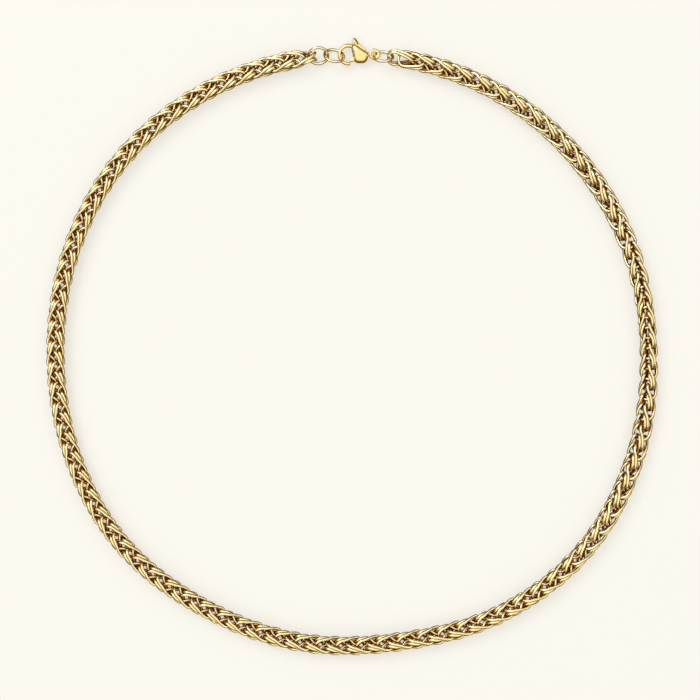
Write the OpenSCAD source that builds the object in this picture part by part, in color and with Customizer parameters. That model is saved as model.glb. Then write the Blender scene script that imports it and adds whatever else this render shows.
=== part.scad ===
// Wheat (spiga) chain necklace, laid out as a loop and closed with a lobster clasp.
// Millimetres. The surface it lies on is z = 0 and the clasp is at the +Y side.

/* [Chain] */
// Width and height of the woven chain
chain_w = 5.3; // [5.1:0.02:5.4]
// Flat sides round the chain's outer form
chain_sides = 12; // [8:4:16]
// Steps along each half of the chain
chain_steps = 38; // [24:1:40]
// Height of each end loop, to the middle of its wire
loop_h = 3.5; // [3.45:0.05:3.7]
// Straight leg of the right end loop outside the chain
leg_right = 0.9; // [0.8:0.1:1.2]
// Straight leg of the left end loop outside the chain
leg_left = 2.2; // [2.1:0.1:2.4]

/* [Jump rings] */
// Wire of the jump rings and end loops
ring_wire = 0.75; // [0.68:0.01:0.75]
// Radius of a jump ring to the middle of its wire
ring_r = 2.6; // [2.58:0.01:2.62]

/* [Clasp] */
// Thickness of the clasp's shell
shell_t = 3.4; // [3.3:0.05:3.5]
// Bevel round the shell's edges
shell_bevel = 0.5; // [0.3:0.05:0.6]
// Radius of the hook to the middle of its wire
hook_r = 2.5; // [2.4:0.05:2.55]
// Wire of the hook
hook_wire = 0.9; // [0.8:0.05:0.9]
// Radius of the tail eye to the middle of its rim
eye_r = 1.12; // [1.12:0.01:1.16]
// Thickness of the tail eye's rim
eye_wire = 0.62; // [0.56:0.01:0.62]
// Thickness of the lever
lever_t = 1.0; // [0.9:0.05:1.05]
// Gap between the lever and each cheek of the shell
lever_gap = 0.1; // [0.08:0.01:0.15]
// Radius of the rivet that the lever turns on
rivet_r = 0.35; // [0.3:0.01:0.36]
// Turn of the lever from closed, towards the tail
lever_turn = 0; // [0:1:20]

/* [Hidden] */
gold = "gold";

// Middle of the loop, set so that the whole necklace is centred on the origin
loop_centre = [0.05, -1.35];
// Distance of the chain's middle line from loop_centre, by angle from +X, every 20 degrees clockwise
ROUTE = [
    [  80, 80.5], [  60, 80.55], [  40, 80.4], [  20, 80.3], [   0, 80.35], [ -20, 81.8],
    [ -40, 82.8], [ -60, 81.7], [ -80, 79.7], [-100, 80.0], [-120, 80.2], [-140, 81.35],
    [-160, 80.9], [-180, 80.4], [-200, 80.9], [-220, 81.35], [-240, 80.9], [-260, 80.6]];
route_step = 20;
// Where the two ends and the meeting of the two halves lie, by angle from +X
end_right = 83.05;
end_left = -263.2;
halves_meet = -90;

chain_r = chain_w / 2;
// Height of the end loops' middle above the surface
loop_z = 2.42;
loop_corner = 0.9;
loop_root = 0.3;
// Length of an end loop beyond the woven part, as an angle of the route
function loop_angle(leg) = (leg + loop_corner + ring_wire / 2) / 80.5 * 180 / PI;

// Each jump ring: its middle, its lean about +X and the drop of its +X side
RING_RIGHT = [[ 8.47, 78.60, 2.47], 52.5, 3];
RING_HOOK  = [[-4.85, 78.88, 2.25], 43.5, 12];
RING_LEFT  = [[-9.14, 78.81, 2.61], -42.5, 3.2];

// Clasp plan, from its own zero on the shell's spine: +X to the tail, +Y to the thumb tab
clasp_at = [2.6, 79.8, shell_t / 2];
hook_at = [-3.5, -0.55];
hook_from = 62;
hook_to = 278;
eye_at = [3.5, -0.45];
neck_from = 1.65;
neck_to = 2.45;
neck_r = 0.4;
pivot = [-0.2, -0.35];
fit_gap = 0.03;
turn_gap = 0.07;
slot_t = lever_t + 2 * lever_gap;
rivet_short = 0.1;
// Lobes that the shell is drawn round: x, y, radius
LOBES = [[-2.0, 1.4, 0.75], [-0.8, -1.45, 1.35], [0.2, -1.45, 1.35], [1.15, -0.7, 0.8]];
// Lever from above: spine and thumb tab, boss, then the gate down to the hook's tip
LEVER = [
    [-1.15, 1.4], [-1.85, 2.25], [-2.45, 2.5], [-2.5, 3.3], [-2.3, 3.8], [-1.9, 3.95],
    [-1.5, 3.8], [-1.3, 3.3], [-0.45, 2.15], [0.5, 1.4], [1.3, 0.85], [1.3, 0.6],
    [0.8, 0.2], [0.6, -0.6], [0.2, -1.1], [-0.5, -1.3], [-1.4, -1.95], [-2.1, -2.25],
    [-2.9, -2.45], [-3.1, -2.3], [-3.05, -2.0], [-2.2, -1.4], [-1.25, -0.55], [-1.05, 0.1]];
thumb_at = [-1.9, 3.5];
thumb_r = 0.4;
thumb_t = 2.0;
// Room for the lever inside the shell, from above
SLOT = [
    [0.8, -1.35], [0.4, -1.5], [-0.5, -1.55], [-1.4, -2.15], [-2.1, -2.4], [-3.6, -2.9], [-3.9, 0.1],
    [-2.3, -0.2], [-1.4, 0.1], [-1.35, 1.35], [-1.95, 2.1], [-2.6, 3.0], [0.5, 3.2], [2.4, 1.2],
    [1.75, 0.1], [1.6, -0.15], [1.25, -0.75]];

// Radius of the route at angle a: a smooth cubic through the table's rows, which close on themselves
function row(i) = ROUTE[(i + 2 * len(ROUTE)) % len(ROUTE)][1];
function cubic(a, b, c, d, t) =
    b + t * (c - a) / 2 + t * t * (a - 5 * b / 2 + 2 * c - d / 2) + t * t * t * (3 * b - a - 3 * c + d) / 2;
function route_r(a) =
    let (s = (ROUTE[0][0] - a) / route_step, i = floor(s))
    cubic(row(i - 1), row(i), row(i + 1), row(i + 2), s - i);
function route(a) = [loop_centre.x + route_r(a) * cos(a), loop_centre.y + route_r(a) * sin(a), chain_r];
// Way along the route at angle a, clockwise
function heading(a) = let (d = route(a - 0.5) - route(a + 0.5)) atan2(d.y, d.x);

// One ring of corners round the route, with a flat side down on the surface
function section(a) =
    let (h = heading(a) + 90, r = chain_r / cos(180 / chain_sides))
    [for (k = [0:chain_sides - 1])
        let (p = (k + 0.5) * 360 / chain_sides)
        route(a) + r * [cos(p) * cos(h), cos(p) * sin(h), sin(p)]];

module woven_run(from, to) {
    n = chain_sides;
    corners = [for (i = [0:chain_steps]) each section(from + (to - from) * i / chain_steps)];
    sides = [for (i = [0:chain_steps - 1], k = [0:n - 1])
        let (a = i * n + k, b = i * n + (k + 1) % n)
        each [[a, b, a + n], [b, b + n, a + n]]];
    caps = [[for (k = [n - 1:-1:0]) k], [for (k = [0:n - 1]) chain_steps * n + k]];
    polyhedron(corners, concat(sides, caps), convexity = 4);
}

// Upright end loop that a jump ring passes through; way is 1 for an end that faces the way of the route
module end_loop(a, way, leg) {
    flat_half = loop_h / 2 - loop_corner;
    at = [route(a).x, route(a).y, loop_z];
    translate(at) rotate(heading(a) + (way > 0 ? 0 : 180)) translate([-ring_wire / 2, 0, 0]) {
        cylinder(r = ring_wire / 2, h = 2 * flat_half, center = true, $fn = 32);
        for (side = [0, 1]) mirror([0, 0, side]) translate([-loop_corner, 0, flat_half]) {
            rotate([90, 0, 0]) rotate_extrude(angle = 90, $fn = 48)
                translate([loop_corner, 0]) circle(r = ring_wire / 2, $fn = 32);
            translate([0, 0, loop_corner]) rotate([0, -90, 0])
                cylinder(r = ring_wire / 2, h = leg + loop_root, $fn = 32);
        }
    }
}

module chain_right() {
    color(gold) {
        woven_run(end_right - loop_angle(leg_right), halves_meet);
        end_loop(end_right, -1, leg_right);
    }
}

module chain_left() {
    color(gold) {
        woven_run(halves_meet, end_left + loop_angle(leg_left));
        end_loop(end_left, 1, leg_left);
    }
}

module jump_ring(place) {
    color(gold) translate(place[0]) rotate([-place[1], place[2], 0])
        rotate_extrude($fn = 64) translate([ring_r, 0]) circle(r = ring_wire / 2, $fn = 32);
}

module jump_ring_right() {
    jump_ring(RING_RIGHT);
}

module jump_ring_hook() {
    jump_ring(RING_HOOK);
}

module jump_ring_left() {
    jump_ring(RING_LEFT);
}

module shell() {
    difference() {
        hull()
            for (l = LOBES)
                translate([l[0], l[1], 0]) {
                    cylinder(r = l[2], h = shell_t - 2 * shell_bevel, center = true, $fn = 32);
                    cylinder(r = l[2] - shell_bevel, h = shell_t, center = true, $fn = 32);
                }
        linear_extrude(height = slot_t, center = true) polygon(SLOT);
        translate(pivot) cylinder(r = rivet_r + fit_gap, h = shell_t + 1, center = true, $fn = 48);
    }
}

module hook() {
    translate(hook_at) rotate(hook_from) rotate_extrude(angle = hook_to - hook_from, $fn = 64)
        translate([hook_r, 0]) circle(r = hook_wire / 2, $fn = 32);
}

module tail_eye() {
    translate([neck_from, eye_at.y, 0]) rotate([0, 90, 0])
        cylinder(r = neck_r, h = neck_to - neck_from, $fn = 32);
    translate(eye_at) rotate_extrude($fn = 64)
        translate([eye_r, 0]) circle(r = eye_wire / 2, $fn = 32);
}

module clasp_body() {
    color(gold) translate(clasp_at) {
        shell();
        hook();
        tail_eye();
    }
}

module clasp_lever() {
    color(gold) translate(clasp_at) translate(pivot) rotate(-lever_turn) translate(-pivot)
        difference() {
            union() {
                linear_extrude(height = lever_t, center = true) polygon(LEVER);
                translate(thumb_at) cylinder(r = thumb_r, h = thumb_t, center = true, $fn = 32);
            }
            translate(pivot) cylinder(r = rivet_r + turn_gap, h = lever_t + 1, center = true, $fn = 48);
        }
}

module clasp_rivet() {
    color(gold) translate(clasp_at) translate(pivot)
        cylinder(r = rivet_r, h = shell_t - rivet_short, center = true, $fn = 48);
}

chain_left();
chain_right();
jump_ring_left();
jump_ring_hook();
jump_ring_right();
clasp_body();
clasp_lever();
clasp_rivet();
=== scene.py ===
import math

import bpy
import numpy as np
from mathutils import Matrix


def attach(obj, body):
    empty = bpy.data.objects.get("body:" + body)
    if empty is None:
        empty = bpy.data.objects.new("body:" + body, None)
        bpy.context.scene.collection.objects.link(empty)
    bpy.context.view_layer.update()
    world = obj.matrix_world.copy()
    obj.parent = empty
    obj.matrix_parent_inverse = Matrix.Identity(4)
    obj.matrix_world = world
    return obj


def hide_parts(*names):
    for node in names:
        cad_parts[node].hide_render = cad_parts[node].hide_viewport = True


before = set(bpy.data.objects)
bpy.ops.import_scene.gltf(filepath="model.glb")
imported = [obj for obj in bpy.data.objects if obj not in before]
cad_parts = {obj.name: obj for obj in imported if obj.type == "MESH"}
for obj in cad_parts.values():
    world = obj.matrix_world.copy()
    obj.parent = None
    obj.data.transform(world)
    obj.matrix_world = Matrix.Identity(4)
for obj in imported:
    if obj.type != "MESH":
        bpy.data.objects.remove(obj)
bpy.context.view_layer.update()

MM = 0.001
UP = np.array([0, 0, 1.0])

# Route of the chain's middle line, with the values of the part's source: radius in millimetres about
# LOOP_CENTRE, every 20 degrees clockwise from 80
LOOP_CENTRE = (0.05, -1.35)
ROUTE_FROM = 80.0
ROUTE_STEP = 20.0
ROUTE_R = np.array([80.5, 80.55, 80.4, 80.3, 80.35, 81.8, 82.8, 81.7, 79.7,
                    80.0, 80.2, 81.35, 80.9, 80.4, 80.9, 81.35, 80.9, 80.6])
CHAIN_R = 2.65
END_RIGHT = 83.05
END_LEFT = -263.2
# The route is measured at fine steps, from FINE_FROM to FINE_TO degrees, and its length counts from TOP
FINE_FROM = 95.0
FINE_TO = -275.0
FINE_COUNT = 7401
TOP = 90.0
# Distance either way that the chain's way is taken over
WAY_REACH = 0.5

# Weave of the chain, in millimetres
WIRE = 0.77
LINKS = 174
LINK_STATIONS = 64
WIRE_SIDES = 8
# Extra length of the last link's fold, and the share of it at the third row of the table
DRAWN_FOLD = 0.1
DRAWN_SHARE = 0.7
# From the inner side of the end loops' wire in the source to the middles of the first and last links
START_ROOM = 3.6
END_ROOM = 3.3
# Samples of the spline for each station that is kept
FINER = 8
# A direction that no wire starts along
ANY_WAY = (0.3, 0.5, 0.8)
# How strongly wires nearby shade each other, and the links that count, by their place along the chain
SHADE = 1.5
OWN_HAND_NEAR = (-4, -2, 2, 4)
OTHER_HAND_NEAR = (-3, -1, 1, 3)

# Half of one link's shape, from its folded tip to its eye. The wire runs as two strands beside a leg.
# Each row has the place along the chain, the leg's distance from the axis, its angle about the axis, the
# turn of the pair of strands, and half of the space between them
LINK = np.array([
    [3.28, 0.00, 19.0, -5, 0.89], [3.03, 1.02, 17.6, -4, 0.54], [2.45, 1.63, 24.1, 0, 0.39],
    [1.51, 1.95, 33.3, 3, 0.37], [0.54, 1.94, 40.5, -4, 0.38], [-0.41, 1.75, 50.2, -35, 0.45],
    [-1.20, 1.50, 51.9, -86, 0.54], [-2.01, 1.15, 57.4, -105, 0.86], [-3.05, 1.10, 63.2, -108, 0.77],
    [-3.61, 1.07, 65.1, -110, 0.00]])
# The same for the first two links at the right end. Each is two plain closed bows side by side, far enough
# apart that they don't touch
BOW = np.array([
    [3.28, 0.00, 19.0, -5, 0.89], [3.03, 1.02, 17.5, -4, 0.54], [2.45, 1.63, 24.6, 0, 0.40],
    [1.51, 1.94, 33.1, 3, 0.415], [0.54, 1.93, 41.2, -4, 0.425], [-0.40, 1.785, 50.7, -5, 0.425],
    [-1.28, 1.75, 58.2, -5, 0.415], [-2.21, 1.745, 63.7, -5, 0.415], [-3.31, 1.30, 68.8, -5, 0.405],
    [-3.92, 0.00, 70.2, -5, 0.40]])
# The link is widened across the chain, then eased back inside the chain's round outer form
WIDEN = np.array([1.0, 1.22, 1.12])
LIMIT_R = 2.5
LIMIT_POWER = 8

# Roll of the weave about the chain's axis, by distance along the route in millimetres
ROLL_AT = np.array([0, 17.6, 52.8, 88.1, 111, 130, 158.5, 176, 194, 211, 229, 271,
                    298, 325, 379, 423, 461, 508])
ROLL = np.array([18, 20, 30, 55, 90, 115, 145, 165, 180, 192, 200, 200,
                 190, 186, 184, 181, 179, 170])

# The photograph's frame: its side in pixels, millimetres to a pixel, the point of the plan at its middle,
# and the lens and sensor in millimetres
PHOTO = 700
PIXEL = 0.271
PHOTO_MIDDLE = (-0.542, -0.9485)
LENS = 100.0
SENSOR = 36.0

# Painted shade of the gold: share of open space at which the painted shade, a dark red-brown, starts to clear
# and is gone
EXPOSED_FROM = 0.12
EXPOSED_TO = 0.60

# Floor and light, in metres and watts. The paper takes little light and glows a little, as pale as the
# photo's ground. In reflections it is a dim brown instead, so that the metal keeps its dark edges
PAPER = np.array([0.312, 0.307, 0.292])
PAPER_CHANGE = 0.005
PAPER_GRAIN = 12.0
PAPER_ROUGH = 0.9
PAPER_SHINE = 0.1
PAPER_GLOW = 0.60
PAPER_TINT = (1.0, 0.965, 0.875)
PAPER_MIRRORED = (0.13, 0.085, 0.035)
FLOOR_HALF = 1.5
KEY_AT = (-1.1, 1.2, 1.9)
KEY_SIZE = 1.3
KEY_POWER = 23.0
KEY_COLOUR = (1.0, 0.98, 0.95)
# Height of a direction at which the sky starts to brighten and is at its brightest
SKY_FROM = 0.1
SKY_TO = 0.85
SKY_LOW = (0.26, 0.18, 0.10)
SKY_HIGH = (1.17, 1.20, 1.22)


def route_point(angle):
    """Middle line of the chain at an angle in degrees: a smooth cubic through the radii of the table."""
    s = (ROUTE_FROM - angle) / ROUTE_STEP
    i = np.floor(s).astype(int)
    t = s - i
    a, b, c, d = (ROUTE_R[(i + k) % len(ROUTE_R)] for k in (-1, 0, 1, 2))
    r = b + t * (c - a) / 2 + t ** 2 * (a - 5 * b / 2 + 2 * c - d / 2) + t ** 3 * (3 * b - a - 3 * c + d) / 2
    q = np.radians(angle)
    return np.stack([LOOP_CENTRE[0] + r * np.cos(q), LOOP_CENTRE[1] + r * np.sin(q), CHAIN_R + 0 * r], -1)


FINE = np.linspace(FINE_FROM, FINE_TO, FINE_COUNT)
FINE_POINTS = route_point(FINE)
FINE_LENGTH = np.concatenate([[0], np.cumsum(np.linalg.norm(np.diff(FINE_POINTS, axis=0), axis=1))])
FINE_LENGTH -= np.interp(-TOP, -FINE, FINE_LENGTH)


def length_at(angle):
    """Distance along the route, clockwise from its top, at an angle in degrees."""
    return np.interp(-angle, -FINE, FINE_LENGTH)


def along_route(s):
    """Point, way and two cross directions of the weave at distance s. The roll turns up towards inwards."""
    p = np.stack([np.interp(s, FINE_LENGTH, FINE_POINTS[:, k]) for k in range(3)], -1)
    q = np.stack([np.interp(s + WAY_REACH, FINE_LENGTH, FINE_POINTS[:, k]) for k in range(3)], -1)
    o = np.stack([np.interp(s - WAY_REACH, FINE_LENGTH, FINE_POINTS[:, k]) for k in range(3)], -1)
    way = (q - o) / np.linalg.norm(q - o, axis=-1, keepdims=True)
    inward = np.stack([way[..., 1], -way[..., 0], 0 * way[..., 0]], -1)
    roll = np.radians(np.interp(s, ROLL_AT, ROLL))[..., None]
    z = np.cos(roll) * UP + np.sin(roll) * inward
    y = np.cross(z, way)
    return p, way, y, z


def evenly(points, n):
    """A closed line through the points as n samples evenly spaced along it, and its whole length."""
    closed = np.vstack([points, points[:1]])
    gone = np.concatenate([[0], np.cumsum(np.linalg.norm(np.diff(closed, axis=0), axis=1))])
    at = np.arange(n) * gone[-1] / n
    return np.stack([np.interp(at, gone, column) for column in closed.T], -1), gone[-1]


def spline(points, n):
    """Closed curve of n samples, evenly spaced: a uniform cubic B-spline through the points, fitted."""
    m = len(points)
    k = np.fft.fftfreq(m) * 2 * np.pi
    c = np.fft.ifft(np.fft.fft(points, axis=0) / ((4 + 2 * np.cos(k)) / 6)[:, None], axis=0).real
    t = np.arange(n * FINER) * m / (n * FINER)
    i = np.floor(t).astype(int)
    u = (t - i)[:, None]
    g = [c[(i + j) % m] for j in (-1, 0, 1, 2)]
    q = ((1 - u) ** 3 * g[0] + (3 * u ** 3 - 6 * u ** 2 + 4) * g[1]
         + (-3 * u ** 3 + 3 * u ** 2 + 3 * u + 1) * g[2] + u ** 3 * g[3]) / 6
    q = fitted(q)
    return evenly(q, n)[0]


def fitted(points):
    """Link widened by WIDEN, then brought inside LIMIT_R: r becomes r / (1 + (r / LIMIT_R) ^ n) ^ (1 / n)."""
    wide = points * WIDEN
    r = np.hypot(wide[:, 1], wide[:, 2])
    ease = (1 + (r / LIMIT_R) ** LIMIT_POWER) ** (-1 / LIMIT_POWER)
    return wide * np.stack([1 + 0 * r, ease, ease], 1)


def link_curve(table):
    """Middle line of one link: both strands of a leg, folded over to the leg turned half round the axis.
    Where the strands haven't met at the table's end, each closes on its own and the link is two bows."""
    x, r, az, turn, half = table.T
    az, turn = np.radians(az), np.radians(turn)
    out = np.stack([0 * x, np.sin(az), np.cos(az)], 1)
    across = np.stack([0 * x, np.cos(az), -np.sin(az)], 1)
    leg = np.stack([x, 0 * x, 0 * x], 1) + r[:, None] * out
    apart = half[:, None] * (np.cos(turn)[:, None] * across + np.sin(turn)[:, None] * out)
    a, b = leg + apart, leg - apart
    turned = np.array([1, -1, -1.0])
    half_link = np.concatenate([a[::-1][:-1], b * turned])[:-1]
    if half[-1] > 0:
        return [spline(half_link, LINK_STATIONS), spline(half_link * turned, LINK_STATIONS)]
    return [spline(np.concatenate([half_link, half_link * turned]), LINK_STATIONS)]


def round_angles(n):
    """n angles evenly round a full turn, in radians."""
    return np.arange(n) * 2 * np.pi / n


def turn_about(axis, angle, v):
    """Vector v turned about a unit axis, by Rodrigues' formula."""
    c, s = np.cos(angle), np.sin(angle)
    dot = np.sum(axis * v, -1, keepdims=True)
    return v * c + np.cross(axis, v) * s + axis * dot * (1 - c)


def closed_tube(curve, radius, sides):
    """Round wire round a closed curve: the section is carried along without twist, and the twist that is
    left where it closes is spread evenly."""
    way = np.roll(curve, -1, 0) - np.roll(curve, 1, 0)
    way /= np.linalg.norm(way, axis=1, keepdims=True)
    n = len(curve)
    side = np.empty_like(curve)
    start = np.cross(way[0], ANY_WAY)
    side[0] = start / np.linalg.norm(start)
    for i in range(1, n + 1):
        v = side[i - 1] - way[i % n] * (side[i - 1] @ way[i % n])
        v /= np.linalg.norm(v)
        if i < n:
            side[i] = v
    gap = math.atan2(np.cross(v, side[0]) @ way[0], v @ side[0])
    spread = (np.arange(n) * gap / n)[:, None]
    side = turn_about(way, spread, side)
    other = np.cross(way, side)
    q = round_angles(sides)
    ring = np.cos(q)[None, :, None] * side[:, None] - np.sin(q)[None, :, None] * other[:, None]
    return curve[:, None] + radius * ring


def exposure(points, centres, others):
    """Share of open space that each surface point sees: the wire pieces round it take away their width
    over their distance squared, weighed by how squarely the surface faces them. Where it is low the gold gets
    painted shade."""
    n = points - centres
    n /= np.linalg.norm(n, axis=-1, keepdims=True)
    taken = np.zeros(points.shape[:-1])
    for curve in others:
        ahead = np.roll(curve, -1, 0) - curve
        d = curve + ahead / 2 - points[..., None, :]
        far = np.linalg.norm(d, axis=-1)
        d /= far[..., None]
        facing = np.clip(np.einsum("...kj,...j->...k", d, n), 0, None)
        wide = np.linalg.norm(np.cross(d, ahead), axis=-1)
        taken += (facing * wide * WIRE / (np.pi * np.maximum(far, WIRE) ** 2)).sum(-1)
    return np.exp(-SHADE * taken)


def grid_faces(rows, cols, close_rows, close_cols):
    """Four-sided faces of a grid of rows by cols points, closed round in either direction."""
    i = np.arange(rows if close_rows else rows - 1)
    j = np.arange(cols if close_cols else cols - 1)
    a, b = np.meshgrid(i, j, indexing="ij")
    a2, b2 = (a + 1) % rows, (b + 1) % cols
    return np.stack([a * cols + b, a2 * cols + b, a2 * cols + b2, a * cols + b2], -1).reshape(-1, 4)


def make_piece(name, verts_mm, faces, body, material, values=None, caps=()):
    """A smooth-shaded mesh from whole arrays of points in millimetres, riding on a body: four-sided faces,
    and flat caps with any number of corners."""
    mesh = bpy.data.meshes.new(name)
    mesh.vertices.add(len(verts_mm))
    mesh.vertices.foreach_set("co", (np.asarray(verts_mm) * MM).astype(np.float32).ravel())
    corners = np.concatenate([faces.ravel(), *caps]).astype(np.int32)
    sizes = np.array([faces.shape[1]] * len(faces) + [len(c) for c in caps])
    mesh.loops.add(len(corners))
    mesh.loops.foreach_set("vertex_index", corners)
    mesh.polygons.add(len(sizes))
    mesh.polygons.foreach_set("loop_start", (np.cumsum(sizes) - sizes).astype(np.int32))
    mesh.polygons.foreach_set("use_smooth", np.ones(len(sizes), dtype=bool))
    mesh.update(calc_edges=True)
    mesh.validate()
    for key, value in (values or {}).items():
        layer = mesh.attributes.new(key, "FLOAT", "POINT")
        layer.data.foreach_set("value", np.asarray(value, dtype=np.float32).ravel())
    mesh.materials.append(material)
    piece = bpy.data.objects.new(name, mesh)
    bpy.context.scene.collection.objects.link(piece)
    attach(piece, body)
    return piece


def new_group(name, inputs, outputs):
    """An empty shader node group with named inputs (name, kind, value) and outputs (name, kind)."""
    tree = bpy.data.node_groups.new(name, "ShaderNodeTree")
    for label, kind, value in inputs:
        socket = tree.interface.new_socket(label, in_out="INPUT", socket_type=kind)
        socket.default_value = value
    for label, kind in outputs:
        tree.interface.new_socket(label, in_out="OUTPUT", socket_type=kind)
    return tree, tree.nodes.new("NodeGroupInput"), tree.nodes.new("NodeGroupOutput")


def gold_tone_and_shade_group():
    """Polished gold: painted shade, a dark red-brown, where little open space is seen between wires, a soft
    change of tint, and fine drawn marks.
    """
    tree, given, out = new_group(
        "gold_tone_and_shade",
        [("Exposure", "NodeSocketFloat", 1.0),
         ("Light tint", "NodeSocketColor", (0.95, 0.8, 0.47, 1)),
         ("Warm tint", "NodeSocketColor", (0.9, 0.7, 0.35, 1)),
         ("Painted shade tint", "NodeSocketColor", (0.44, 0.16, 0.02, 1)),
         ("Gloss low", "NodeSocketFloat", 0.1), ("Gloss high", "NodeSocketFloat", 0.2),
         ("Patch size", "NodeSocketFloat", 900.0), ("Mark size", "NodeSocketFloat", 9000.0)],
        [("Color", "NodeSocketColor"), ("Roughness", "NodeSocketFloat"), ("Height", "NodeSocketFloat")])
    link = tree.links.new
    place = tree.nodes.new("ShaderNodeTexCoord")
    patch = tree.nodes.new("ShaderNodeTexNoise")
    patch.inputs["Detail"].default_value = 2.0
    marks = tree.nodes.new("ShaderNodeTexNoise")
    marks.inputs["Detail"].default_value = 1.0
    warm = tree.nodes.new("ShaderNodeMix")
    warm.data_type = "RGBA"
    tint = tree.nodes.new("ShaderNodeMix")
    tint.data_type = "RGBA"
    open_part = tree.nodes.new("ShaderNodeMapRange")
    open_part.interpolation_type = "SMOOTHSTEP"
    open_part.inputs["From Min"].default_value = EXPOSED_FROM
    open_part.inputs["From Max"].default_value = EXPOSED_TO
    gloss = tree.nodes.new("ShaderNodeMapRange")
    gloss.inputs["From Min"].default_value = 0.3
    gloss.inputs["From Max"].default_value = 0.7
    link(place.outputs["Object"], patch.inputs["Vector"])
    link(place.outputs["Object"], marks.inputs["Vector"])
    link(given.outputs["Patch size"], patch.inputs["Scale"])
    link(given.outputs["Mark size"], marks.inputs["Scale"])
    link(patch.outputs["Fac"], warm.inputs["Factor"])
    link(given.outputs["Light tint"], warm.inputs["A"])
    link(given.outputs["Warm tint"], warm.inputs["B"])
    # Painted shade: where wires crowd each other the colour is mixed towards the painted shade tint
    link(given.outputs["Exposure"], open_part.inputs["Value"])
    link(open_part.outputs["Result"], tint.inputs["Factor"])
    link(given.outputs["Painted shade tint"], tint.inputs["A"])
    link(warm.outputs["Result"], tint.inputs["B"])
    link(marks.outputs["Fac"], gloss.inputs["Value"])
    link(given.outputs["Gloss low"], gloss.inputs["To Min"])
    link(given.outputs["Gloss high"], gloss.inputs["To Max"])
    link(tint.outputs["Result"], out.inputs["Color"])
    link(gloss.outputs["Result"], out.inputs["Roughness"])
    link(marks.outputs["Fac"], out.inputs["Height"])
    return tree


TONE_AND_SHADE = gold_tone_and_shade_group()


def gold(name, light, warm, gloss, bump, shade_in_gaps=False):
    """Gold from the shared group of tone and painted shade: tints, range of roughness, depth of the marks in
    metres, and whether the piece takes the exposure attribute, which paints shade into it where little open
    space is seen."""
    mat = bpy.data.materials.new(name)
    mat.use_nodes = True
    tree = mat.node_tree
    shader = tree.nodes["Principled BSDF"]
    shader.inputs["Metallic"].default_value = 1.0
    tone_and_shade = tree.nodes.new("ShaderNodeGroup")
    tone_and_shade.node_tree = TONE_AND_SHADE
    tone_and_shade.inputs["Light tint"].default_value = (*light, 1)
    tone_and_shade.inputs["Warm tint"].default_value = (*warm, 1)
    tone_and_shade.inputs["Gloss low"].default_value = gloss[0]
    tone_and_shade.inputs["Gloss high"].default_value = gloss[1]
    relief = tree.nodes.new("ShaderNodeBump")
    relief.inputs["Strength"].default_value = 1.0
    relief.inputs["Distance"].default_value = bump
    # Painted shade: the exposure attribute darkens the colour where neighbouring wires crowd this one
    if shade_in_gaps:
        seen = tree.nodes.new("ShaderNodeAttribute")
        seen.attribute_name = "exposure"
        tree.links.new(seen.outputs["Fac"], tone_and_shade.inputs["Exposure"])
    tree.links.new(tone_and_shade.outputs["Color"], shader.inputs["Base Color"])
    tree.links.new(tone_and_shade.outputs["Roughness"], shader.inputs["Roughness"])
    tree.links.new(tone_and_shade.outputs["Height"], relief.inputs["Height"])
    tree.links.new(relief.outputs["Normal"], shader.inputs["Normal"])
    return mat


CHAIN_GOLD = gold("chain_gold_wire", light=(0.98, 0.87, 0.49), warm=(0.95, 0.79, 0.35),
                  gloss=(0.20, 0.30), bump=0.000004, shade_in_gaps=True)
CLASP_GOLD = gold("clasp_gold_cast", light=(0.98, 0.74, 0.34), warm=(0.95, 0.65, 0.23),
                  gloss=(0.10, 0.18), bump=0.000004)
RING_GOLD = gold("ring_gold_wire", light=(0.95, 0.83, 0.48), warm=(0.92, 0.75, 0.35),
                 gloss=(0.08, 0.14), bump=0.000003)


def last_link():
    """The link at the left end: its fold is drawn out to take the jump ring."""
    table = LINK.copy()
    table[:3, 0] += [DRAWN_FOLD, DRAWN_FOLD, DRAWN_FOLD * DRAWN_SHARE]
    return table


def placed(table, hand, s, before=LINKS, after=LINKS):
    """Tubes of one shape of link, mirrored for the other hand, bent along the route at distances s. The
    links before and after it, as many as there are, shade it."""
    curves = link_curve(table)
    usual = link_curve(LINK)[0]
    others = curves + [usual + [k * PITCH, 0, 0] for k in OWN_HAND_NEAR if -before <= k <= after]
    others += [usual * [1, -1, 1] + [k * PITCH, 0, 0] for k in OTHER_HAND_NEAR if -before <= k <= after]
    grids, seen = [], []
    for curve in curves:
        shape = closed_tube(curve, WIRE / 2, WIRE_SIDES)
        seen.append(np.repeat(exposure(shape, curve[:, None], others)[None], len(s), axis=0))
        shape = shape * np.array([1, 1 - 2 * hand, 1])
        if hand:
            shape = shape[:, ::-1]
            seen[-1] = seen[-1][:, :, ::-1]
        p, _, y, z = along_route(s[:, None, None] + shape[None, :, :, 0])
        grids.append(p + shape[None, :, :, 1:2] * y + shape[None, :, :, 2:3] * z)
    return np.concatenate(grids), np.concatenate(seen)


def weave_run(name, node, numbers):
    """One run of the chain: links of both hands by turns, with the end links where the run has them."""
    s = S_FIRST + numbers * PITCH
    ends = {0: BOW, 1: BOW, LINKS - 1: last_link()}
    usual = ~np.isin(numbers, list(ends))
    grids = [placed(LINK, hand, s[(numbers % 2 == hand) & usual]) for hand in (0, 1)]
    grids += [placed(ends[k], k % 2, s[numbers == k], k, LINKS - 1 - k) for k in ends if k in numbers]
    verts = np.concatenate([g for g, seen in grids])
    seen = np.concatenate([seen for g, seen in grids])
    one = grid_faces(LINK_STATIONS, WIRE_SIDES, True, True)
    starts = np.arange(len(verts)) * LINK_STATIONS * WIRE_SIDES
    faces = (one[None] + starts[:, None, None]).reshape(-1, 4)
    # The exposure attribute sets where the chain's gold gets its painted shade
    piece = make_piece(name, verts.reshape(-1, 3), faces, "necklace", CHAIN_GOLD,
                       {"exposure": seen})
    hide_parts(node)


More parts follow.
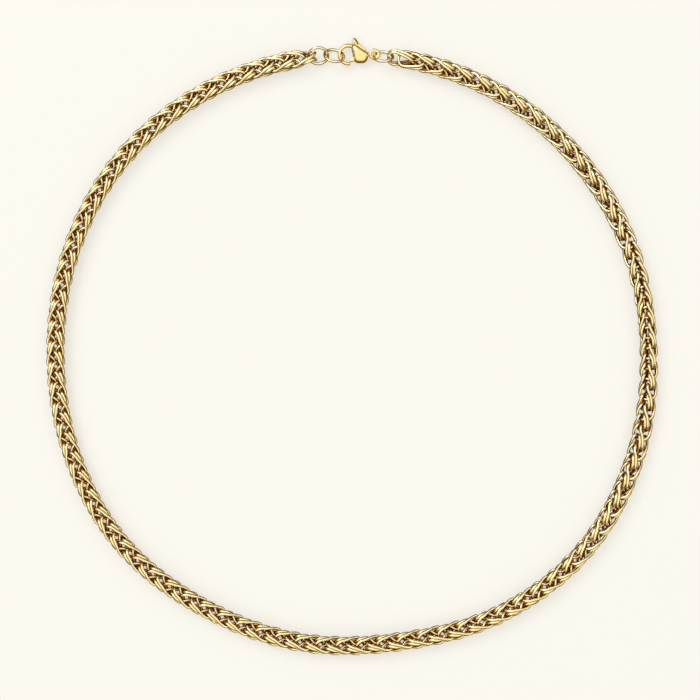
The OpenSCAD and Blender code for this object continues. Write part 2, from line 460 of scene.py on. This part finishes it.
# Middles of the first and last links along the route, and the step between links of either hand
S_FIRST = length_at(END_RIGHT) + WIRE / 2 + START_ROOM
S_LAST = length_at(END_LEFT) - WIRE / 2 - END_ROOM - DRAWN_FOLD
PITCH = (S_LAST - S_FIRST) / (LINKS - 1)
QUARTERS = np.array_split(np.arange(LINKS), 4)
weave_run("weave_right_upper", "chain_right", QUARTERS[0])
weave_run("weave_right_lower", "chain_right", QUARTERS[1])
weave_run("weave_left_lower", "chain_left", QUARTERS[2])
weave_run("weave_left_upper", "chain_left", QUARTERS[3])

for name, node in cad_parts.items():
    if name.startswith("jump_ring") or name.startswith("clasp"):
        metal = RING_GOLD if name.startswith("jump_ring") else CLASP_GOLD
        for slot in node.material_slots:
            slot.material = metal


# Clasp in plan, from the zero of the part's source, in millimetres
CLASP_AT = np.array([2.6, 79.8, 1.7])
LOBES = np.array([[-2.0, 1.4, 0.75], [-0.8, -1.45, 1.35], [0.2, -1.45, 1.35], [1.15, -0.7, 0.8]])
SHELL_MIDDLE = np.array([-0.35, -0.7])
SHELL_HALF = 1.7
SLOT_HALF = 0.6
SHELL_SIDES = 96
# Least cosine between a wall's outward way and a ray at which the wall bounds that ray
LEAST_LEAN = 0.05
# Wall between the cheeks: its span in degrees, its share of the outline, its thickness and half height
WALL_SPAN = (-128, 2)
WALL_STEPS = 40
WALL_SHARE = 0.985
WALL_THICK = 0.55
WALL_HALF = 0.7
HOOK_AT = (-3.5, -0.55)
HOOK_R = 2.5
HOOK_FROM = 52.0
HOOK_TO = 279.0
HOOK_STEPS = 96
HOOK_SIDES = 24
# Steps of the hook are closer towards its tip by this power
HOOK_CLOSER = 1.6
# Radius of the hook's bar: what it has all along, what it gains at the shell and at the tip, and how far
# along the hook each gain and the tip's rounding reach
HOOK_BAR = 0.43
HOOK_FOOT = (0.11, 0.30)
HOOK_BEAD = (0.04, 0.10)
TIP_REACH = 0.02
TIP_LEAST = 0.3
# Radius of the source's bar, which the outer side keeps to, and the least that it is counted with
BAR_OUTER = 0.45
BAR_LEAST = 0.40
EYE_AT = (3.5, -0.45)
EYE_R = 1.12
EYE_WIRE = 0.62
EYE_FLARE = 0.10
EYE_STEPS = 48
BAR_SIDES = 20
NECK_FROM = 1.66
NECK_TO = 2.62
NECK_STEPS = 12
NECK_R = 0.36
NECK_SWELL = 0.07
# Dome of a cheek: angles of its rows in degrees, and the powers of its inset and rise
DOME_ROWS = 15
DOME_TO = 84
DOME_LAST = 89
DOME_INSET = 0.8
DOME_RISE = 0.95
# Lever from above, clockwise: spine and thumb tab, boss, then the gate down to the hook's tip
LEVER = np.array([
    [-1.15, 1.4], [-1.85, 2.25], [-2.45, 2.5], [-2.5, 3.3], [-2.3, 3.8], [-1.9, 3.95],
    [-1.5, 3.8], [-1.3, 3.3], [-0.45, 2.15], [0.5, 1.4], [1.3, 0.85], [1.3, 0.6],
    [0.8, 0.2], [0.6, -0.6], [0.2, -1.1], [-0.5, -1.28], [-1.38, -1.88], [-2.1, -2.4],
    [-2.7, -2.58], [-3.15, -2.47], [-3.35, -2.15], [-2.4, -1.3], [-1.25, -0.5], [-1.05, 0.1]])
# Flange of the thumb tab: its middle and half sizes, and in degrees its lean in plan, its tilt about its own
# length and how near its rows come to the poles
PAD_AT = (-1.55, 2.9, 0.7)
PAD_HALF = (1.05, 0.58, 0.26)
PAD_LEAN = 126.0
PAD_TILT = 47.0
PAD_POLE = 88
PAD_ROWS = 25
PAD_SIDES = 32
# Half thickness of the lever's plate, reach of the easing of its corners and radius of its edges
LEVER_POINTS = 192
LEVER_ROWS = 13
LEVER_HALF = 0.5
LEVER_EASE = 0.20
LEVER_ROUND = 0.20


def shell_outline(n):
    """Outline of the shell as a distance from its middle by angle: along each ray, the nearest of the
    straight walls that are laid against the round lobes from every side."""
    q = round_angles(n)
    ways = np.stack([np.cos(q), np.sin(q)], 1)
    support = ((LOBES[:, :2] - SHELL_MIDDLE) @ ways.T + LOBES[:, 2:]).max(0)
    lean = ways @ ways.T
    reach = np.where(lean > LEAST_LEAN, support[None] / np.maximum(lean, LEAST_LEAN), np.inf).min(1)
    return q, reach


def closed_parts(parts):
    """Joins grids that are closed round their columns, with flat caps over their first and last rows."""
    verts, faces, caps, start = [], [], [], 0
    for grid in parts:
        rows, cols = grid.shape[:2]
        verts.append(grid.reshape(-1, 3))
        faces.append(grid_faces(rows, cols, False, True) + start)
        caps += [start + np.arange(cols), start + rows * cols - 1 - np.arange(cols)]
        start += rows * cols
    return np.concatenate(verts), np.concatenate(faces), caps


def cheek(side):
    """One cheek of the shell: a flat inner face, and a dome that falls off to the outline as a quarter of an
    ellipse raised to a full form."""
    q, reach = shell_outline(SHELL_SIDES)
    v = np.radians(np.append(np.linspace(0, DOME_TO, DOME_ROWS), DOME_LAST))
    inset = np.cos(v) ** DOME_INSET
    height = SLOT_HALF + (SHELL_HALF - SLOT_HALF) * np.sin(v) ** DOME_RISE
    x = SHELL_MIDDLE[0] + inset[:, None] * reach * np.cos(q)
    y = SHELL_MIDDLE[1] + inset[:, None] * reach * np.sin(q)
    z = side * height[:, None] + 0 * x
    grid = np.stack([x, y, z], -1)
    return grid[:, ::-1] if side > 0 else grid


def spine_wall():
    """The wall between the cheeks, round the foot of the shell and up to its tail: a flat band."""
    q, reach = shell_outline(SHELL_SIDES)
    span = np.radians(np.linspace(*WALL_SPAN, WALL_STEPS))
    outer = np.interp(span % (2 * np.pi), q, reach) * WALL_SHARE
    inner = outer - WALL_THICK
    corners = [(outer, -WALL_HALF), (outer, WALL_HALF), (inner, WALL_HALF), (inner, -WALL_HALF)]
    x = np.stack([SHELL_MIDDLE[0] + r * np.cos(span) for r, z in corners], 1)
    y = np.stack([SHELL_MIDDLE[1] + r * np.sin(span) for r, z in corners], 1)
    z = np.stack([z + 0 * span for r, z in corners], 1)
    return np.stack([x, y, z], -1)


def open_tube(curve, radius, sides):
    """Round bar of changing radius along a flat curve in plan."""
    way = np.gradient(curve, axis=0)
    way /= np.linalg.norm(way, axis=1, keepdims=True)
    other = np.cross(way, UP)
    other /= np.linalg.norm(other, axis=1, keepdims=True)
    q = round_angles(sides)
    height = np.cross(other, way)
    ring = np.cos(q)[None, :, None] * other[:, None] + np.sin(q)[None, :, None] * height[:, None]
    return curve[:, None] + radius[:, None, None] * ring


def hook_bar():
    """The hook: a round bar on an arc. Bell-shaped gains make it thick where it leaves the shell and give it
    a small bead at the tip, which is rounded off. Its outer side keeps to one arc."""
    u = 1 - np.linspace(1, 0, HOOK_STEPS) ** HOOK_CLOSER
    a = np.radians(HOOK_FROM + (HOOK_TO - HOOK_FROM) * u)
    foot = HOOK_FOOT[0] * np.exp(-(u / HOOK_FOOT[1]) ** 2)
    bead = HOOK_BEAD[0] * np.exp(-((1 - u) / HOOK_BEAD[1]) ** 2)
    end = np.clip((1 - u) / TIP_REACH, 0, 1)
    wire = (HOOK_BAR + foot + bead) * np.sqrt(np.clip(1 - (1 - end) ** 2, TIP_LEAST, 1))
    middle_r = HOOK_R + BAR_OUTER - np.maximum(wire, BAR_LEAST)
    curve = np.stack([HOOK_AT[0] + middle_r * np.cos(a), HOOK_AT[1] + middle_r * np.sin(a), 0 * a], 1)
    return open_tube(curve, wire, HOOK_SIDES)


def tail_eye():
    """The eye at the tail: a ring of bar that is a little wider in plan than it is high."""
    u = round_angles(EYE_STEPS)
    v = round_angles(BAR_SIDES)
    r = EYE_R + EYE_FLARE / 2 + (EYE_WIRE + EYE_FLARE) / 2 * np.cos(v)[None]
    x = EYE_AT[0] + r * np.cos(u)[:, None]
    y = EYE_AT[1] + r * np.sin(u)[:, None]
    z = EYE_WIRE / 2 * np.sin(v)[None] + 0 * x
    return np.stack([x, y, z], -1)


def tail_neck():
    """The short neck between the shell and the tail eye, swelling towards the shell."""
    u = np.linspace(0, 1, NECK_STEPS)
    x = NECK_FROM + (NECK_TO - NECK_FROM) * u
    wire = NECK_R + NECK_SWELL * (1 - u) ** 2
    q = round_angles(BAR_SIDES)
    y = EYE_AT[1] + wire[:, None] * np.cos(q)
    z = wire[:, None] * np.sin(q)
    return np.stack([x[:, None] + 0 * y, y, z], -1)[:, ::-1]


def clasp_body_piece():
    """Shell, hook and tail cast as one."""
    grids = [cheek(1), cheek(-1), spine_wall(), hook_bar(), tail_neck()]
    verts, faces, caps = closed_parts(grids)
    eye = tail_eye()
    eye_faces = grid_faces(*eye.shape[:2], True, True) + len(verts)
    verts = np.concatenate([verts, eye.reshape(-1, 3)]) + CLASP_AT
    piece = make_piece("clasp_cast_body", verts, np.concatenate([faces, eye_faces]), "necklace", CLASP_GOLD,
                       caps=caps)
    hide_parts("clasp_body")


def thumb_pad():
    """The thumb tab's bent flange: a flat ellipsoid, long along the tab and tilted about its own length."""
    t = np.radians(np.linspace(-PAD_POLE, PAD_POLE, PAD_ROWS))[:, None]
    q = round_angles(PAD_SIDES)
    along = PAD_HALF[0] * np.cos(t) * np.cos(q)
    wide = PAD_HALF[1] * np.cos(t) * np.sin(q)
    thick = PAD_HALF[2] * np.sin(t) + 0 * wide
    lean, tilt = np.radians(PAD_LEAN), np.radians(PAD_TILT)
    across = wide * np.cos(tilt) - thick * np.sin(tilt)
    height = wide * np.sin(tilt) + thick * np.cos(tilt)
    x = PAD_AT[0] + along * np.cos(lean) - across * np.sin(lean)
    y = PAD_AT[1] + along * np.sin(lean) + across * np.cos(lean)
    return np.stack([x, y, PAD_AT[2] + height], -1)[:, ::-1]


def lever_piece():
    """The lever: its outline drawn evenly and eased at the corners by a bell-shaped average. The edges are
    half rounds, and the flange stands on the tab."""
    n = LEVER_POINTS
    line, length = evenly(LEVER, n)
    ease = np.exp(-(np.minimum(np.arange(n), n - np.arange(n)) * length / n / LEVER_EASE) ** 2)
    ease = np.fft.fft(ease / ease.sum())
    line = np.fft.ifft(np.fft.fft(line, axis=0) * ease[:, None], axis=0).real
    way = np.roll(line, -1, 0) - np.roll(line, 1, 0)
    way /= np.linalg.norm(way, axis=1, keepdims=True)
    inward = np.stack([way[:, 1], -way[:, 0]], 1)
    t = np.radians(np.linspace(-90, 90, LEVER_ROWS))
    inset = LEVER_ROUND * (1 - np.cos(t))
    height = np.sign(t) * (LEVER_HALF - LEVER_ROUND) + LEVER_ROUND * np.sin(t)
    flat = line[None] + inset[:, None, None] * inward[None]
    grid = np.concatenate([flat, np.broadcast_to(height[:, None, None], (len(t), n, 1))], -1)
    verts, faces, caps = closed_parts([grid, thumb_pad()])
    piece = make_piece("clasp_lever_plate", verts + CLASP_AT, faces, "lever", CLASP_GOLD,
                       caps=caps)
    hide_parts("clasp_lever")


clasp_body_piece()
lever_piece()


def floor_material():
    """Pale matt paper with a very slight change of tone, dim brown and without its glow to glossy rays."""
    mat = bpy.data.materials.new("pale_paper")
    mat.use_nodes = True
    tree = mat.node_tree
    shader = tree.nodes["Principled BSDF"]
    shader.inputs["Roughness"].default_value = PAPER_ROUGH
    shader.inputs["Specular IOR Level"].default_value = PAPER_SHINE
    noise = tree.nodes.new("ShaderNodeTexNoise")
    noise.inputs["Scale"].default_value = PAPER_GRAIN
    place = tree.nodes.new("ShaderNodeTexCoord")
    mix = tree.nodes.new("ShaderNodeMix")
    mix.data_type = "RGBA"
    mix.inputs["A"].default_value = (*(PAPER * (1 + PAPER_CHANGE)), 1)
    mix.inputs["B"].default_value = (*(PAPER * (1 - PAPER_CHANGE)), 1)
    tree.links.new(place.outputs["Object"], noise.inputs["Vector"])
    tree.links.new(noise.outputs["Fac"], mix.inputs["Factor"])
    seen_by = tree.nodes.new("ShaderNodeLightPath")
    dim = tree.nodes.new("ShaderNodeMix")
    dim.data_type = "RGBA"
    dim.inputs["B"].default_value = (*PAPER_MIRRORED, 1)
    glow = tree.nodes.new("ShaderNodeMapRange")
    glow.inputs["To Min"].default_value = PAPER_GLOW
    glow.inputs["To Max"].default_value = 0.0
    shader.inputs["Emission Color"].default_value = (*PAPER_TINT, 1)
    tree.links.new(seen_by.outputs["Is Glossy Ray"], glow.inputs["Value"])
    tree.links.new(glow.outputs["Result"], shader.inputs["Emission Strength"])
    tree.links.new(seen_by.outputs["Is Glossy Ray"], dim.inputs["Factor"])
    tree.links.new(mix.outputs["Result"], dim.inputs["A"])
    tree.links.new(dim.outputs["Result"], shader.inputs["Base Color"])
    return mat


floor_mesh = bpy.data.meshes.new("floor")
floor_mesh.from_pydata([(-FLOOR_HALF, -FLOOR_HALF, 0), (FLOOR_HALF, -FLOOR_HALF, 0),
                        (FLOOR_HALF, FLOOR_HALF, 0), (-FLOOR_HALF, FLOOR_HALF, 0)], [], [(0, 1, 2, 3)])
floor_mesh.materials.append(floor_material())
floor = bpy.data.objects.new("floor", floor_mesh)
bpy.context.scene.collection.objects.link(floor)


def area_light(name, place, size, power, colour):
    """A square soft light that faces the middle of the necklace."""
    data = bpy.data.lights.new(name, "AREA")
    data.shape = "SQUARE"
    data.size = size
    data.energy = power
    data.color = colour
    lamp = bpy.data.objects.new(name, data)
    lamp.location = place
    away = np.array(place) / np.linalg.norm(place)
    yaw = math.atan2(away[1], away[0])
    lamp.rotation_euler = (0, math.acos(away[2]), yaw)
    bpy.context.scene.collection.objects.link(lamp)


area_light("key_upper_left", KEY_AT, KEY_SIZE, KEY_POWER, KEY_COLOUR)


def studio_world():
    """Light that comes mostly from overhead, and fades to a dim horizon."""
    world = bpy.data.worlds.new("studio")
    world.use_nodes = True
    tree = world.node_tree
    place = tree.nodes.new("ShaderNodeTexCoord")
    split = tree.nodes.new("ShaderNodeSeparateXYZ")
    rise = tree.nodes.new("ShaderNodeMapRange")
    rise.interpolation_type = "SMOOTHSTEP"
    rise.inputs["From Min"].default_value = SKY_FROM
    rise.inputs["From Max"].default_value = SKY_TO
    tone = tree.nodes.new("ShaderNodeMix")
    tone.data_type = "RGBA"
    tone.inputs["A"].default_value = (*SKY_LOW, 1)
    tone.inputs["B"].default_value = (*SKY_HIGH, 1)
    tree.links.new(place.outputs["Generated"], split.inputs["Vector"])
    tree.links.new(split.outputs["Z"], rise.inputs["Value"])
    tree.links.new(rise.outputs["Result"], tone.inputs["Factor"])
    tree.links.new(tone.outputs["Result"], tree.nodes["Background"].inputs["Color"])
    return world


bpy.context.scene.world = studio_world()
bpy.context.scene.view_settings.view_transform = "Standard"

camera_data = bpy.data.cameras.new("camera")
camera_data.lens = LENS
camera_data.sensor_width = SENSOR
camera = bpy.data.objects.new("camera", camera_data)
REACH = PHOTO * PIXEL * LENS / SENSOR
camera.location = (PHOTO_MIDDLE[0] * MM, PHOTO_MIDDLE[1] * MM, (CHAIN_R + REACH) * MM)
bpy.context.scene.collection.objects.link(camera)
bpy.context.scene.camera = camera
